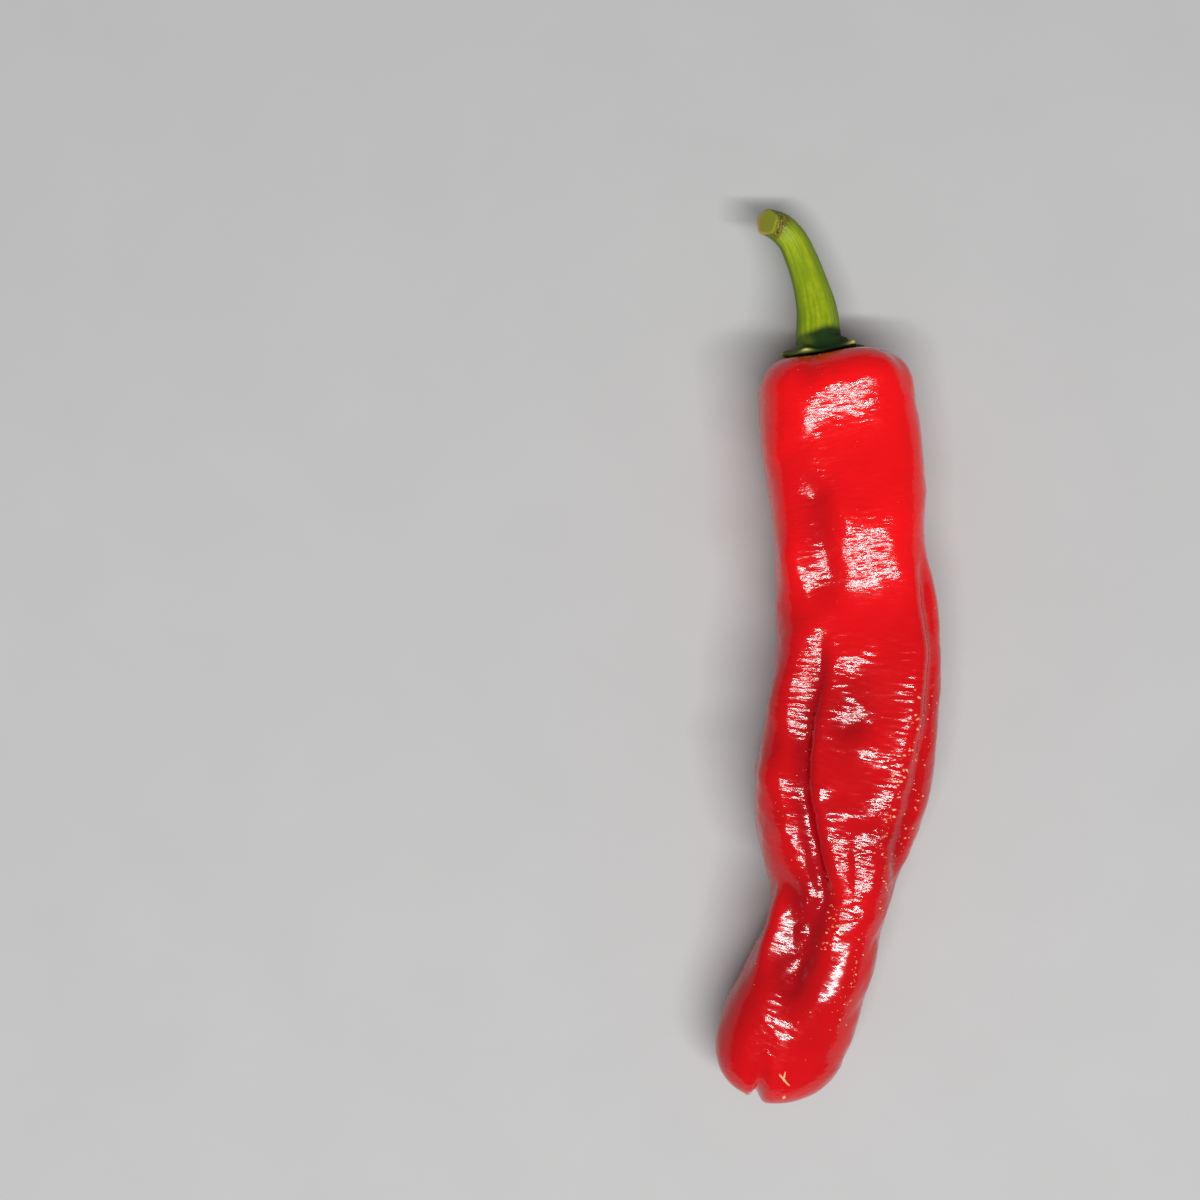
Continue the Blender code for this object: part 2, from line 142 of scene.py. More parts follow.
# Bumps and dents: a height, a reach down the pod, a reach round it (all in millimetres), then
# the distance from the crown and the angle in degrees.
BLOBS = {
    "swelling by the crown": (0.3, 4.0, 7.0, 5.0, 82),
    "left, below the shoulder": (-0.35, 6.0, 3.0, 16.0, 128),
    "upper right swelling": (0.3, 4.5, 5.0, 25.0, 66),
    "upper left swelling": (0.8, 3.2, 3.0, 30.3, 142),
    "crater": (-0.55, 2.2, 2.6, 54.5, 98),
    "rim of the crater": (0.3, 1.6, 1.8, 56.5, 84),
    "right of the crater": (0.15, 1.8, 2.2, 57.5, 74),
    "bump above the crater": (0.3, 1.6, 1.6, 44.5, 101),
    "left swelling": (0.6, 5.5, 4.0, 50.0, 153),
    "lower end of the left ridge": (0.4, 4.0, 2.6, 54.0, 157),
    "between the left swellings": (-0.4, 2.4, 3.0, 57.5, 150),
    "right of the left belly": (0.35, 2.5, 2.2, 62.5, 136),
    "left belly": (1.25, 5.0, 3.0, 62.2, 150),
    "beside the left belly": (-0.2, 5.0, 3.0, 62.0, 180),
    "left below the belly": (0.5, 2.3, 2.0, 69.5, 134),
    "left, above the waist": (-1.2, 3.5, 3.4, 78.5, 143),
    "beside the waist furrow": (-0.5, 3.0, 2.4, 77.5, 124),
    "high on the right ridge": (1.1, 12.0, 2.8, 47.0, 52),
    "above the right knuckle": (-0.5, 2.8, 3.2, 69.0, 62),
    "above the knuckles": (0.4, 1.5, 4.0, 66.8, 84),
    "right knuckle": (0.5, 4.0, 2.4, 76.0, 60),
    "below the right knuckle": (-0.35, 1.5, 3.0, 79.6, 69),
    "lower end of the right ridge": (0.35, 4.0, 2.2, 64.5, 50),
    "right flank": (0.45, 12.0, 4.0, 50.0, 20),
    "valley bump, highest": (0.3, 0.9, 0.9, 80.5, 120),
    "valley bump, upper": (0.35, 0.8, 0.8, 84.3, 121),
    "valley bump, lower": (0.12, 0.9, 0.9, 89.3, 118),
    "valley bump, lowest": (0.3, 1.2, 1.2, 94.0, 106),
    "end of the right lower ridge": (0.7, 6.0, 4.0, 94.5, 80),
    "right of the lower ridge": (0.5, 6.0, 2.6, 92.5, 60),
    "left lobe of the tip": (0.4, 5.0, 4.5, 100.0, 138),
    "left side of the left lobe": (0.4, 4.5, 5.0, 101.0, 175),
    "middle of the tip": (0.2, 2.0, 2.0, 96.5, 107),
}

# The skin's fine unevenness: height, wave lengths down the pod, the most waves round it, and
# the seed that its waves are drawn from
WAVES_SUMMED = 26
UNEVEN_BROAD = (0.060 * MM, (7 * MM, 12 * MM), 9, 3)
UNEVEN_SMALL = (0.026 * MM, (3 * MM, 5 * MM), 22, 5)
WRINKLES = (0.016 * MM, (0.9 * MM, 1.6 * MM), 26, 7)
RIDGE_WRINKLES = (0.026 * MM, (0.7 * MM, 1.1 * MM), 12, 11)

# The unevenness is weaker by the crown: its share there, then where it starts to grow and the
# stretch over which it grows to full height, in millimetres
BROAD_BY_CROWN = (0.82, 30, 25)
SMALL_BY_CROWN = (0.55, 30, 25)
WRINKLES_BY_CROWN = (0.45, 36, 8)
WRINKLES_BELOW = 0.15  # the share of the wrinkles that is left on the underside
RIDGE_WRINKLES_PLACE = (2.4, ((42, 54), (50, 56), (58, 57), (66, 58), (72, 58)))

# The calyx lies over the crown. Its foot, reach, offset, flare and teeth are shares of the
# pod's full ring.
CALYX_GAP = 0.35 * MM
CALYX_EDGE = 0.45 * MM
CALYX_THINNING = 0.35
CALYX_RISE = 2.3 * MM
CALYX_FLARE = 0.085
CALYX_REACH = 0.47
CALYX_OFFSET = 0.05
STEM_FOOT = 0.31
TOOTH_LENGTH = 0.10
TOOTH_ANGLES = (2, 58, 124, 182, 243, 302)
TOOTH_HALF_ANGLE = 13.0
TOOTH_BLUNTNESS = 1.6
TOOTH_RIB = 0.35 * MM
TOOTH_CURL = 0.5 * MM

# The stem's middle line from its foot to the cut: X, Y, Z and the stem's width, in millimetres
STEM_LINE = np.array(
    [
        (-1.5, 49.9, 10.0, 5.7),
        (-2.4, 53.9, 9.4, 4.9),
        (-3.6, 57.5, 9.0, 4.5),
        (-5.0, 60.3, 9.0, 4.2),
        (-6.6, 61.8, 9.4, 4.1),
        (-7.9, 62.3, 10.1, 3.8),
        (-8.7, 62.4, 10.8, 3.6),
    ]
)
STEM_FOOT_HEIGHT = 3.8 * MM
STEM_FOOT_SHARE = 0.97  # of the calyx's foot, which the stem's foot lies just inside
STEM_EDGES = 5
STEM_EDGE_HEIGHT = 0.05
CUT_TILT = math.radians(4)
CUT_RINGS = 6  # how many of the stem's rings the tilt of the cut takes with it

# The stem's fibres, fine and coarse: how many, their height as a share of the radius, and how
# far their waves wander from side to side down the stem
FIBRES = ((26, 0.012, 0.91), (17, 0.0072, 1.05))
FIBRE_WANDER_LENGTH = 5 * MM

# The share of each kind of unevenness that the middle of a calm place takes away
CALMED_BROAD = 0.75
CALMED_SMALL = 0.6
CALMED_WRINKLES = 0.75

# Where the skin is calm: a reach down the pod and a reach round it in millimetres, the distance
# from the crown and the angle in degrees
CALM_PLACES = {
    "below the crown": (4.0, 9.0, 15.5, 70),
    "above the ridges": (4.0, 9.0, 38.0, 85),
    "beside the crater": (4.5, 3.5, 48.5, 74),
    "middle plain": (5.0, 4.0, 61.5, 92),
    "left of the waist": (6.0, 4.5, 79.0, 142),
    "lower ridge, left": (7.0, 3.0, 87.0, 143),
    "lower ridge, right": (9.0, 4.0, 89.0, 76),
    "left lobe": (9.0, 5.0, 96.0, 155),
    "right lobe": (9.0, 6.0, 100.0, 60),
}

# The dry scar at the tip, and a short one below it: a width in millimetres, then points as
# (share of the full ring, angle in degrees) on the tip's end
TIP_SCARS = {
    "tip_scar": (0.34, ((0.985, 97), (0.955, 88), (0.90, 76))),
    "tip_scar_branch": (0.26, ((0.985, 87), (0.95, 86.5))),
    "tip_spike": (0.42, ((0.76, 75), (0.68, 72))),
    "tip_spike_left": (0.25, ((0.62, 128), (0.55, 131))),
}
SCAR_ROWS = 18
SCAR_HEIGHT = 0.45  # as a share of its width
SCAR_UNEVEN = (0.2, 23)  # waves in its width: a share, and the angle they turn by over its length

# What the finishes follow: the depth of a full furrow, at which the painted shade in the furrows
# is at its darkest, how ripe the skin is (a share by the crown, then where and over which stretch
# it grows, in millimetres), the radii of the straight tubes that the patterns lie on, and how far
# they run on and widen over the calyx
DEEPEST_FURROW = 1.6 * MM
RIPE_BY_CROWN = (0, 24, 30)
POD_PATTERN_RADIUS = 12 * MM
STALK_PATTERN_RADIUS = 2.4 * MM
CALYX_PATTERN_REACH = 5 * MM
CALYX_PATTERN_SPREAD = 1.4

# How finely the surfaces are divided
POD_COLUMNS = 208
CROWN_ROWS = 14
SHOULDER_ROWS = 26
POD_BODY_ROWS = 380
TIP_ROWS = 44
STALK_COLUMNS = 130
CUT_ROWS = 12
STEM_ROWS = 150
CALYX_ROWS_OVER = 34
CALYX_ROWS_UNDER = 16
STRIP_SIDES = 8  # round a fleck and round a scar

# Corky flecks lie in trails: how many, how far off the trail they stray and how long the longest
# are (both in millimetres), then the points of the trail as (distance from the crown, angle)
FLECK_TRAILS = {
    "along the right furrow": (46, 1.0, 0.75, ((49, 55), (54, 53), (58, 54), (62, 58), (66, 61))),
    "lower right furrow": (44, 1.0, 0.45, ((66, 60), (71, 57), (76, 50), (80, 47))),
    "right flank": (46, 1.5, 0.5, ((50, 31), (56, 34), (62, 37), (68, 37), (74, 35))),
    "right flank, higher": (8, 1.0, 0.35, ((36, 30), (42, 28), (48, 30))),
    "beside the lower valley": (34, 0.9, 0.5, ((79, 92), (83, 90), (86, 94))),
    "right of the lower ridge": (44, 1.4, 0.45, ((84, 62), (88, 62), (91, 64), (96, 52))),
    "along the left furrow": (12, 0.7, 0.35, ((54, 130), (59, 128), (65, 127))),
    "left, below the belly": (14, 2.4, 0.3, ((66, 138), (70, 130), (76, 128))),
    "by the valley's bumps": (14, 1.2, 0.35, ((79, 116), (84, 117), (90, 115))),
    "over the tip": (16, 4.0, 0.3, ((90, 80), (96, 90), (101, 96))),
    "here and there above": (22, 6.0, 0.28, ((4, 95), (16, 80), (28, 95), (40, 70))),
    "left flank": (16, 3.5, 0.28, ((40, 165), (58, 168), (76, 160), (94, 165))),
    "underside, right": (26, 4.0, 0.4, ((20, 320), (44, 318), (64, 325), (88, 318))),
    "underside, left": (22, 4.0, 0.4, ((16, 222), (44, 226), (66, 220), (92, 230))),
}
FLECK_SEED = 21
FLECK_STRAY = 0.6  # the bell curve's width, as a share of the trail's stray
FLECK_ENDS = (2, 101)  # the least and the most distance from the crown, in millimetres
FLECK_SHORTEST = 0.32  # as a share of the longest of the trail
FLECK_RARITY = 2.2  # the higher, the fewer flecks are long
FLECK_HALF_WIDTHS = (0.204, 0.357)  # the least and the most, as a share of the length
FLECK_TILT = (-0.15, 0.25)  # in radians from straight across: the usual, and how far it strays
FLECK_RAGGED = 0.22  # how far its outline strays from an oval, as a share
FLECK_RISE = 0.22  # its height as a share of the length, up to the greatest height
FLECK_HEIGHT = 0.09  # the greatest height, in millimetres
FLECK_SHOULDER = (0.6, 0.8)  # the smaller ring: its share of the outer ring, and of the height
FLECK_SUNK = 0.15  # how far the outer ring lies under the skin, as a share of the height
USUAL_RADIUS = 10.5  # the pod's, in millimetres, which turns a distance into an angle

# The camera stands over the middle of what the photograph shows, to the left of the pepper
CAMERA_PLACE = (-32.8 * MM, 8.4 * MM, 300 * MM)
PHOTO_WIDTH = 172.6 * MM  # what the photograph spans, at the height of the pod's widest part
POD_MIDDLE_HEIGHT = 11 * MM
SENSOR_WIDTH = 36.0  # in millimetres

# The floor, the light and the sky, in metres, with the light's power in watts
FLOOR_HALF = 2.0
FLOOR_DROP = 0.02 * MM
LIGHT_PLACE = (0.09, -0.38, 1.15)
LIGHT_AIM = (0.09, 0, 0.01)
LIGHT_SIZE = (1.18, 0.07)
LIGHT_POWER = 18.4
SKY_COLOUR = (0.93, 0.95, 1.0, 1)
SKY_STRENGTH = 0.16

# Colours
BRIGHT_RED = (0.80, 0.003, 0.005, 1)
# DEEP_RED is the skin's deeper tone down the pod, and also the painted shade in its furrows
DEEP_RED = (0.36, 0.001, 0.004, 1)
GREEN_BETWEEN_FIBRES = (0.20, 0.30, 0.004, 1)
YELLOW_GREEN_FIBRE = (0.40, 0.46, 0.008, 1)
GREEN_BLOTCH = (0.13, 0.21, 0.004, 1)
GREEN_SPECK = (0.17, 0.30, 0.004, 1)
# Painted shade on both flanks of the stem
FLANK_SHADE_GREEN = (0.07, 0.14, 0.006, 1)
# The calyx's own dark green, darkened further as painted shade at the stem's foot and over the calyx
CALYX_GREEN_AND_SHADE = (0.010, 0.036, 0.004, 1)
BROWN_CRUMBS = (0.085, 0.032, 0.010, 1)
CUT_FACE = (0.23, 0.24, 0.018, 1)
CUT_RIM = (0.50, 0.30, 0.12, 1)
PALE_TOOTH = (0.46, 0.46, 0.13, 1)
TAN_CORK = (0.82, 0.30, 0.13, 1)
PALE_CORK = (0.95, 0.50, 0.28, 1)
FLOOR_GREY = (0.43, 0.428, 0.424, 1)
FLOOR_PALE = (0.46, 0.458, 0.454, 1)


def smooth_through(at, known, values):
    """A cubic through the known points whose slope at each is that of its two neighbours."""
    slopes = np.gradient(values, known)
    at = np.clip(at, known[0], known[-1])
    left = np.clip(np.searchsorted(known, at, side="right") - 1, 0, len(known) - 2)
    span = known[left + 1] - known[left]
    t = (at - known[left]) / span
    return (
        (2 * t**3 - 3 * t**2 + 1) * values[left]
        + (t**3 - 2 * t**2 + t) * span * slopes[left]
        + (3 * t**2 - 2 * t**3) * values[left + 1]
        + (t**3 - t**2) * span * slopes[left + 1]
    )


def unit(vectors):
    """Each vector over its own length."""
    return vectors / np.linalg.norm(vectors, axis=1)[:, None]


def soft_step(x):
    """0 up to 0, 1 from 1 on, and x * x * (3 - 2x) between."""
    x = np.clip(x, 0, 1)
    return x * x * (3 - 2 * x)


def station(column, along):
    """One column of STATIONS at distances along the pod, in metres."""
    return smooth_through(along / MM, STATIONS[:, 0], STATIONS[:, column]) * MM


def turned_from(angle, line):
    """The angle from a line round the pod, between minus and plus half a turn."""
    return (angle - line + math.pi) % FULL_TURN - math.pi


def stroke(along, angle, girth, half_width, points):
    """A bell curve of the distance round the pod from a line of points, faded at its ends."""
    known = np.array(points, float)
    line = smooth_through(along / MM, known[:, 0], np.radians(known[:, 1]))
    across = turned_from(angle, line) * girth / MM / half_width
    start = soft_step((along / MM - known[0, 0] + STROKE_LEAD) / STROKE_FADE)
    end = soft_step((known[-1, 0] + STROKE_LEAD - along / MM) / STROKE_FADE)
    return np.exp(-(across**2)) * start * end


def blob(along, angle, girth, reach, half_width, place, turn):
    """A bell curve of the distance from one place on the skin, down the pod and round it."""
    across = turned_from(angle, math.radians(turn)) * girth / MM / half_width
    down = (along / MM - place) / reach
    return np.exp(-(down**2) - across**2)


def waves(along, angle, height, lengths, most_round, seed):
    """Smooth unevenness of a given height: the sum of cosine waves over the skin, each with its
    own length down the pod, its own whole number of waves round it, and its own phase."""
    dice = np.random.default_rng(seed)
    total = 0.0
    for _ in range(WAVES_SUMMED):
        length = dice.uniform(*lengths)
        around = dice.integers(-most_round, most_round + 1)
        total = total + np.cos(FULL_TURN * along / length + around * angle + dice.uniform(0, FULL_TURN))
    return total * height * math.sqrt(2 / WAVES_SUMMED)


def main_relief(along, angle, girth):
    """How far the skin stands out from the plain ring: all strokes and blobs, each by height."""
    total = np.zeros(np.broadcast(along, angle).shape)
    for height, half_width, points in STROKES.values():
        total = total + height * MM * stroke(along, angle, girth, half_width, points)
    for height, reach, half_width, place, turn in BLOBS.values():
        total = total + height * MM * blob(along, angle, girth, reach, half_width, place, turn)
    return total


def calm(along, angle, girth):
    """1 in the middle of each calm place and 0 away from them."""
    busy = 1.0
    for reach, half_width, place, turn in CALM_PLACES.values():
        busy = busy * (1 - blob(along, angle, girth, reach, half_width, place, turn))
    return 1 - busy


def grown(along, share, start, stretch):
    """A share by the crown that grows to 1 over a stretch of the pod, in millimetres."""
    return share + (1 - share) * soft_step((along / MM - start) / stretch)


def fine_relief(along, angle, girth):
    """The fine unevenness: broad and small waves everywhere, and short wrinkles across the pod,
    which are strongest on the right ridge. All but those on the ridge are weaker by the crown
    and in the calm places, and the wrinkles are weaker on the underside."""
    still = calm(along, angle, girth)
    broad = grown(along, *BROAD_BY_CROWN) * (1 - CALMED_BROAD * still)
    small = grown(along, *SMALL_BY_CROWN) * (1 - CALMED_SMALL * still)
    on_top = np.clip(np.sin(angle) * 1.3, WRINKLES_BELOW, 1)
    wrinkled = grown(along, *WRINKLES_BY_CROWN) * (1 - CALMED_WRINKLES * still) * on_top
    ridge = stroke(along, angle, girth, *RIDGE_WRINKLES_PLACE)
    total = waves(along, angle, *UNEVEN_BROAD) * broad
    total = total + waves(along, angle, *UNEVEN_SMALL) * small
    total = total + waves(along, angle, *WRINKLES) * wrinkled
    return total + waves(along, angle, *RIDGE_WRINKLES) * ridge


def ring_radius(along, angle):
    """The plain ring: an ellipse, or a rounder or squarer relative of it, by its own exponent."""
    wide = station(HALF_WIDTH, along)
    high = (station(HIGHEST, along) - station(LOWEST, along)) / 2
    power = station(SQUARENESS, along) / MM
    return (np.abs(np.cos(angle) / wide) ** power + np.abs(np.sin(angle) / high) ** power) ** (-1 / power)


def pod_skin(along, share, angle, fine=1.0):
    """Points of the pod's skin: share is 0 on the centre line and 1 on the full ring. A point is
    the centre line's, plus the ring's radius and relief towards the angle, plus a shift down the
    pod that makes the crown's lobes, the tip's slant and the cleft."""
    slope = (station(CENTRE_X, along + MM / 2) - station(CENTRE_X, along - MM / 2)) / MM
    length = np.sqrt(1 + slope**2)
    girth = ring_radius(along, angle)
    reach = share * (girth + main_relief(along, angle, girth) + fine * fine_relief(along, angle, girth))
    across = reach * np.cos(angle) + (1 - share) * POLE_OFFSET[0]
    up = reach * np.sin(angle) + (1 - share) * POLE_OFFSET[1]
    near_crown = np.clip(1 - along / (4 * CROWN_ROUNDING), 0, 1) ** 2
    near_tip = np.clip((along - POD_LENGTH + 2 * TIP_ROUNDING) / (2 * TIP_ROUNDING), 0, 1) ** 2
    cleft = np.exp(-(((across - CLEFT_OFFSET) / CLEFT_HALF_WIDTH) ** 2))
    right_lobe = 1 / (1 + np.exp(-(across - CLEFT_OFFSET) / CLEFT_HALF_WIDTH))
    lobes = CROWN_LOBE_HEIGHT * share * np.cos(CROWN_LOBES * (angle - CROWN_LOBE_TURN))
    shift = near_crown * (across * math.tan(CROWN_LEAN) + lobes)
    tip_shift = CLEFT_DEPTH * cleft - RIGHT_LOBE_REACH * right_lobe + across * math.tan(TIP_LEAN)
    shift = shift + near_tip * tip_shift
    x = station(CENTRE_X, along) + across / length
    y = CROWN_Y - along + across * slope / length + shift
    middle = (station(HIGHEST, along) + station(LOWEST, along)) / 2
    return np.stack([x, y, middle + up], axis=-1)


def crown_depth(share):
    """How far the crown lies below its highest ring: a dimple, then a rounded shoulder."""
    turned = np.clip((share - CROWN_FLAT) / (1 - CROWN_FLAT), 0, 1)
    dimple = CROWN_DIMPLE * np.exp(-((share / CROWN_DIMPLE_SHARE) ** 2))
    return CROWN_TOP + dimple + CROWN_ROUNDING * (1 - np.sqrt(1 - turned**2))


def crown_point(share, angle):
    """Points of the crown, without the fine unevenness."""
    return pod_skin(crown_depth(share), share, angle, fine=0.0)


def tip_depth(share):
    """How far down the pod the tip's rounded end lies: a squarish quarter of an ellipse."""
    return POD_LENGTH - TIP_ROUNDING * (1 - (1 - share**TIP_SQUARE) ** (1 / TIP_SQUARE))


def tip_point(share, angle):
    """Points of the tip, without the fine unevenness."""
    return pod_skin(tip_depth(share), share, angle, fine=0.0)


def pod_rows():
    """(distance down the pod, share of the full ring) of each row, from the middle of the crown
    over the shoulder and down the body to the middle of the tip."""
    flat = np.linspace(0, CROWN_FLAT, CROWN_ROWS)
    quarter = np.linspace(0, math.pi / 2, SHOULDER_ROWS)[1:]
    crown_share = np.concatenate([flat, CROWN_FLAT + (1 - CROWN_FLAT) * np.sin(quarter)])
    body = np.linspace(CROWN_TOP + CROWN_ROUNDING, POD_LENGTH - TIP_ROUNDING, POD_BODY_ROWS)[1:]
    tip_share = np.sin(np.linspace(math.pi / 2, 0, TIP_ROWS)[1:]) ** (2 / TIP_SQUARE)
    along = np.concatenate([crown_depth(crown_share), body, tip_depth(tip_share)])
    share = np.concatenate([crown_share, np.ones(len(body)), tip_share])
    return along[:, None], share[:, None]


def closed_skin(name, rings, attributes):
    """A closed mesh over rings of points, whose first and last ring shrink to one point. The
    attributes are arrays over the same rings: numbers, or three numbers a point."""
    rows, count = rings.shape[:2]

    def flattened(values):
        """The values in the order of the mesh's points, with each end ring's mean as one."""
        middle = values[1:-1].reshape(-1, *values.shape[2:])
        return np.concatenate([values[:1].mean(axis=1), middle, values[-1:].mean(axis=1)])

    turn = np.arange(count)
    beside = (turn + 1) % count
    first = 1 + np.arange(rows - 3)[:, None] * count
    quads = np.stack([first + turn, first + beside, first + count + beside, first + count + turn], axis=-1)
    end = 1 + (rows - 3) * count
    start_fan = np.stack([np.zeros(count, int), 1 + beside, 1 + turn], axis=-1)
    end_fan = np.stack([end + turn, end + beside, np.full(count, end + count)], axis=-1)
    faces = start_fan.tolist() + quads.reshape(-1, 4).tolist() + end_fan.tolist()
    mesh = bpy.data.meshes.new(name)
    mesh.from_pydata(flattened(rings).tolist(), [], faces)
    for label, values in attributes.items():
        flat = flattened(values).astype(np.float32)
        kind, field = ("FLOAT_VECTOR", "vector") if flat.ndim == 2 else ("FLOAT", "value")
        mesh.attributes.new(label, kind, "POINT").data.foreach_set(field, flat.ravel())
    mesh.shade_smooth()
    mesh.update()
    return mesh


def put(name, mesh, finish, node=None):
    """An object for the mesh that rides with the pepper, and if a node is named, replaces it."""
    obj = bpy.data.objects.new(name, mesh)
    mesh.materials.append(finish)
    bpy.context.scene.collection.objects.link(obj)
    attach(obj, "root")
    if node:
        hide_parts(node)


class Finish:
    """A material whose nodes are added one line each."""

    def __init__(self, name):
        """A material that starts as the plain shader alone."""
        self.material = bpy.data.materials.new(name)
        self.material.use_nodes = True
        self.tree = self.material.node_tree
        self.shader = self.tree.nodes["Principled BSDF"]

    def fill(self, socket, value):
        """Links a socket to another's output, or sets it to a number or a colour."""
        if isinstance(value, bpy.types.NodeSocket):
            self.tree.links.new(value, socket)
        else:
            socket.default_value = value

    def node(self, kind, inputs=None, **settings):
        """A node of one kind, with its settings and its inputs filled."""
        made = self.tree.nodes.new("ShaderNode" + kind)
        for key, value in settings.items():
            setattr(made, key, value)
        for key, value in (inputs or {}).items():
            self.fill(made.inputs[key], value)
        return made

    def place(self, stretch=(1, 1, 1)):
        """The skin's own place: where a point would lie if the piece were a straight tube."""
        where = self.node("Attribute", attribute_name="place").outputs["Vector"]
        return self.node("Mapping", {"Vector": where, "Scale": stretch}).outputs["Vector"]

    def noise(self, where, scale, detail=2.0, roughness=0.5):
        """Noise of a scale to the metre, from 0 to 1."""
        inputs = {"Vector": where, "Scale": scale, "Detail": detail, "Roughness": roughness}
        return self.node("TexNoise", inputs).outputs["Fac"]

    def amount(self, name):
        """What one of the mesh's attributes says, from 0 to 1."""
        return self.node("Attribute", attribute_name=name).outputs["Fac"]

    def maths(self, operation, first, second, clamp=False):
        """One sum or product of two values."""
        made = self.node("Math", {0: first, 1: second}, operation=operation, use_clamp=clamp)
        return made.outputs[0]

    def remap(self, value, low, high, to_low=0.0, to_high=1.0):
        """The value's place between low and high, as a place between two other ends."""
        inputs = {"Value": value, "From Min": low, "From Max": high, "To Min": to_low, "To Max": to_high}
        return self.node("MapRange", inputs).outputs["Result"]

    def blend(self, amount, first, second):
        """A colour between two, at the amount. Inputs 6 and 7 are the node's two colours."""
        made = self.node("Mix", {0: amount, 6: first, 7: second}, data_type="RGBA")
        return made.outputs[2]

    def bump(self, height, distance, strength=1.0, under=None):
        """A bump of a height map, over the one under it if there is one."""
        inputs = {"Height": height, "Distance": distance, "Strength": strength}
        if under is not None:
            inputs["Normal"] = under
        return self.node("Bump", inputs).outputs["Normal"]

    def set(self, **values):
        """Fills the shader's own sockets and gives the finished material."""
        for key, value in values.items():
            self.fill(self.shader.inputs[key.replace("_", " ")], value)
        return self.material


def ripe_skin():
    """Waxy, ripe red skin: deeper red down the pod and brighter by the crown, with painted shade
    that darkens the furrows towards deep red, and fine wrinkles across the pod that break up every
    reflection."""
    f = Finish("ripe_skin")
    broad = f.noise(f.place(), 70.0, 3.0)
    # Painted shade: the deeper a furrow, the more its red turns towards deep red
    furrow = f.maths("MULTIPLY", f.amount("furrow"), 0.6)
    deep = f.maths("ADD", f.maths("MULTIPLY", f.amount("ripe"), 0.6), furrow)
    deep = f.maths("ADD", deep, f.remap(broad, 0.3, 0.7, -0.15, 0.15), clamp=True)
    colour = f.blend(deep, BRIGHT_RED, DEEP_RED)
    busy = f.remap(f.amount("calm"), 0.0, 1.0, 1.0, 0.35)
    across = f.noise(f.place((0.22, 1.0, 0.22)), 2100.0, 2.0)
    mottled = f.noise(f.place((0.7, 1.0, 0.7)), 900.0, 3.0)
    grain = f.bump(across, 0.06 * MM, busy)
    grain = f.bump(mottled, 0.10 * MM, busy, under=grain)
    rough = f.remap(f.noise(f.place(), 420.0, 2.0), 0.3, 0.7, 0.10, 0.17)
    return f.set(Base_Color=colour, Roughness=rough, IOR=1.43, Normal=grain)


def green_stem():
    """Yellow-green stem with fine fibres along it, darker at its foot and over the calyx and on both
    flanks as painted shade, brown and corky by the cut.
    """
    f = Finish("green_stem")
    fibres = f.noise(f.place((1.0, 0.07, 1.0)), 2600.0, 3.0, 0.6)
    blotches = f.noise(f.place((1.0, 0.35, 1.0)), 420.0, 3.0)
    green = f.blend(f.remap(fibres, 0.3, 0.7), GREEN_BETWEEN_FIBRES, YELLOW_GREEN_FIBRE)
    green = f.blend(f.remap(blotches, 0.45, 0.75, 0.0, 0.5), green, GREEN_BLOTCH)
    speck = f.noise(f.place(), 1500.0, 2.0)
    green = f.blend(f.remap(speck, 0.40, 0.66, 0.0, 0.4), green, GREEN_SPECK)
    # Painted shade: both flanks of the stem turn darker green
    green = f.blend(f.amount("edge"), green, FLANK_SHADE_GREEN)
    # Painted shade over the calyx's own darker green, at the stem's foot and on the calyx
    green = f.blend(f.amount("dark"), green, CALYX_GREEN_AND_SHADE)
    crumbs = f.noise(f.place(), 2800.0, 3.0)
    brown = f.maths("MULTIPLY", f.amount("brown"), f.remap(crumbs, 0.38, 0.52), clamp=True)
    green = f.blend(brown, green, BROWN_CRUMBS)
    green = f.blend(f.amount("cut"), green, CUT_FACE)
    green = f.blend(f.amount("cork"), green, CUT_RIM)
    green = f.blend(f.amount("pale"), green, PALE_TOOTH)
    grain = f.bump(fibres, 0.05 * MM)
    grain = f.bump(speck, 0.02 * MM, under=grain)
    rough = f.remap(fibres, 0.3, 0.7, 0.46, 0.60)
    rough = f.maths("ADD", rough, f.maths("MULTIPLY", f.amount("dark"), 0.25))
    return f.set(Base_Color=green, Roughness=rough, Normal=grain, IOR=1.3)


def cork():
    """Dry tan cork, a little uneven in colour."""
    f = Finish("cork")
    where = f.node("TexCoord").outputs["Object"]
    tone = f.noise(where, 900.0, 2.0)
    colour = f.blend(f.remap(tone, 0.3, 0.7), TAN_CORK, PALE_CORK)
    return f.set(Base_Color=colour, Roughness=0.75)


def pale_floor():
    """A matt, pale grey floor, a little uneven."""
    f = Finish("pale_floor")
    where = f.node("TexCoord").outputs["Object"]
    tone = f.noise(where, 60.0, 4.0)
    return f.set(Base_Color=f.blend(tone, FLOOR_GREY, FLOOR_PALE), Roughness=0.7)


def shift_onto(points, node):
    """How far to move the points so that their box lies on a node's, by its middle and its top."""
    low, high = (np.array(corner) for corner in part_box(node))
    flat = points.reshape(-1, 3)
    move = (low + high - flat.min(axis=0) - flat.max(axis=0)) / 2
    move[2] = high[2] - flat[:, 2].max()
    return move


def rested(points):
    """The points with the lowest ridges flat on the surface that the pepper lies on."""
    points = points.copy()
    points[..., 2] = np.maximum(points[..., 2], 0.0)
    return points


def straight_place(along, angle, share, radius):
    """Where the points would lie on a straight tube, for patterns that follow the skin."""
    around = radius * share
    spread = np.broadcast_arrays(around * np.cos(angle), along, around * np.sin(angle))
    return np.stack(spread, axis=-1)


